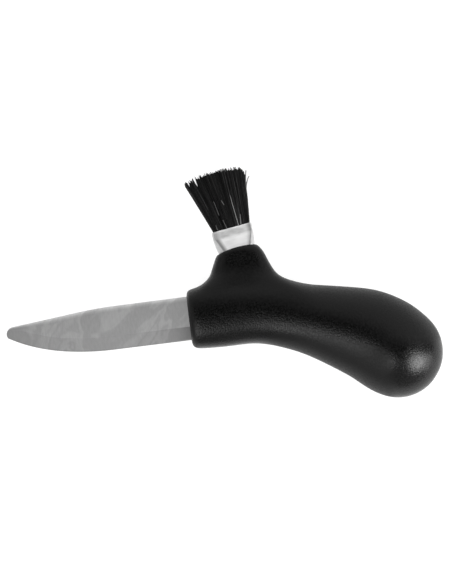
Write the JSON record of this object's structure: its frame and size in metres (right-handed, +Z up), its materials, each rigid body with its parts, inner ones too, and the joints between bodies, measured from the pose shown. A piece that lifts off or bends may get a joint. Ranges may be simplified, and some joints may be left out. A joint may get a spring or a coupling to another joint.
{
  "type": "mushroom knife",
  "caption": "Fixed-blade mushroom knife: short ground steel blade, moulded plastic handle bending down to a bulb end, and a cleaning brush in a ferrule set in a collar on the handle's back.",
  "frame": {"origin": "middle of the bounding box's bottom, on the surface that the knife lies on", "axes": "+X from the blade's tip to the butt, +Y from the cutting edge to the spine and the brush, +Z up, out of the knife's side"},
  "size_m": [0.1694, 0.0986, 0.031],
  "materials": {
    "blade_steel": "satin ground",
    "handle_plastic": "fine moulded grain",
    "ferrule_tinplate": "bright tinned sheet",
    "setting_resin": "cast resin",
    "socket_cement": "set adhesive",
    "bristle": "fine black filaments"
  },
  "bodies": {
    "root": {"blade": "blade_steel", "handle": "handle_plastic", "ferrule": "ferrule_tinplate", "setting_resin": "setting_resin", "socket_cement": "socket_cement", "bristle_tuft_1": "bristle", "bristle_tuft_2": "bristle", "bristle_tuft_3": "bristle", "bristle_tuft_4": "bristle"}
  },
  "joints": []
}
